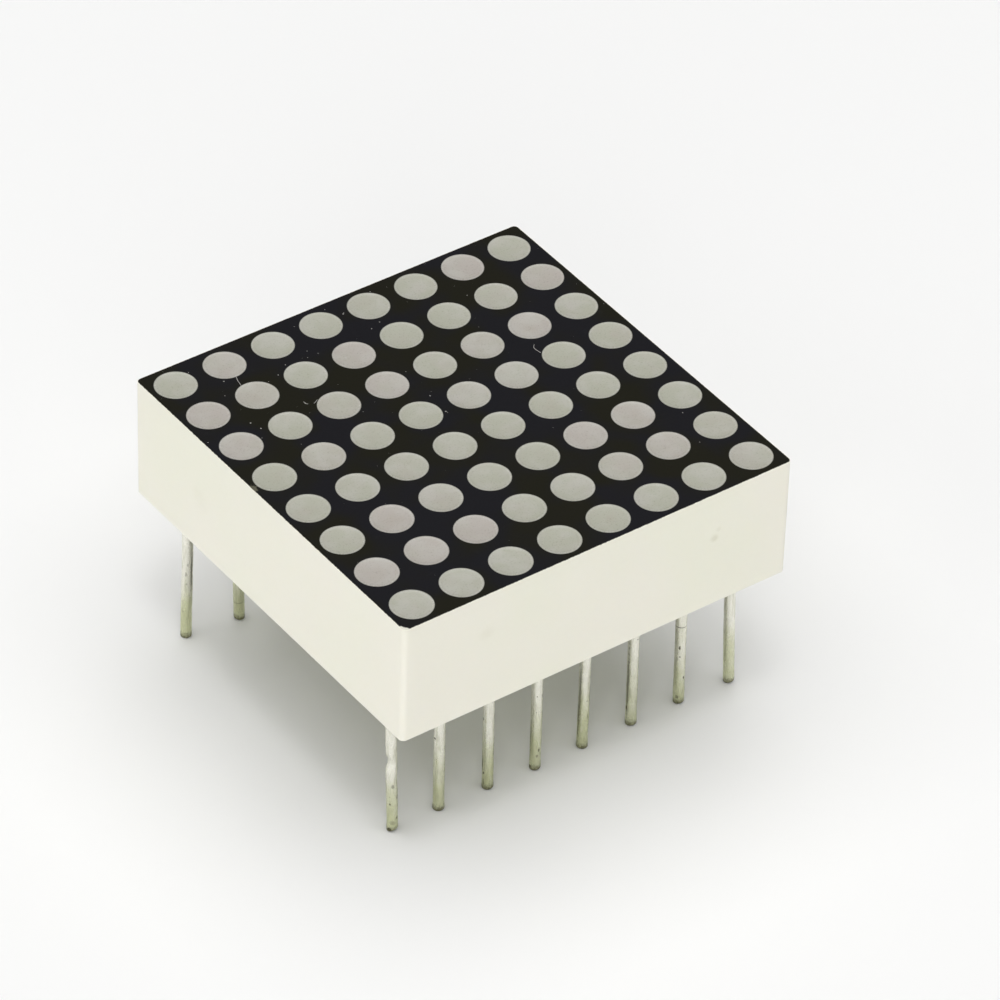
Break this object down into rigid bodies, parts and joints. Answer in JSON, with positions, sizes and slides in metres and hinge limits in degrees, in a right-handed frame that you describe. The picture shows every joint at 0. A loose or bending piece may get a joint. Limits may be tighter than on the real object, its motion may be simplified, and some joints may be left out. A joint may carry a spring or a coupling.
{
  "type": "led dot matrix",
  "caption": "Square LED dot matrix display with round milky dots on a black face, a white moulded body and two rows of round tinned pins.",
  "frame": {"origin": "on the plane of the pins' tips, under the middle of the body", "axes": "+Z out of the face; +X along the pin rows, from pin 1 towards pin 8; +Y from the front pin row towards the rear one"},
  "size_m": [0.02, 0.02, 0.0133],
  "materials": {
    "white_moulding": "satin moulded, warm white",
    "black_ink": "satin black ink with a little dust",
    "dot_resin": "milky cast epoxy",
    "potting_resin": "cloudy cast epoxy",
    "board_laminate": "green glass laminate",
    "copper": "etched copper",
    "chip": "semiconductor",
    "bond_wire": "fine gold wire",
    "solder": "bright solder",
    "tinned_pin": "dull hot-tinned, mottled"
  },
  "bodies": {
    "root": {"housing": "white_moulding", "black_face": "black_ink", "circuit_board": "board_laminate", "copper_tracks": "copper", "led_chips": "chip", "bond_wires": "bond_wire", "solder_joints": "solder", "back_potting": "potting_resin", "dots_row_1": "dot_resin", "dots_row_2": "dot_resin", "dots_row_3": "dot_resin", "dots_row_4": "dot_resin", "dots_row_5": "dot_resin", "dots_row_6": "dot_resin", "dots_row_7": "dot_resin", "dots_row_8": "dot_resin", "pin_01": "tinned_pin", "pin_02": "tinned_pin", "pin_03": "tinned_pin", "pin_04": "tinned_pin", "pin_05": "tinned_pin", "pin_06": "tinned_pin", "pin_07": "tinned_pin", "pin_08": "tinned_pin", "pin_09": "tinned_pin", "pin_10": "tinned_pin", "pin_11": "tinned_pin", "pin_12": "tinned_pin", "pin_13": "tinned_pin", "pin_14": "tinned_pin", "pin_15": "tinned_pin", "pin_16": "tinned_pin"}
  },
  "joints": []
}
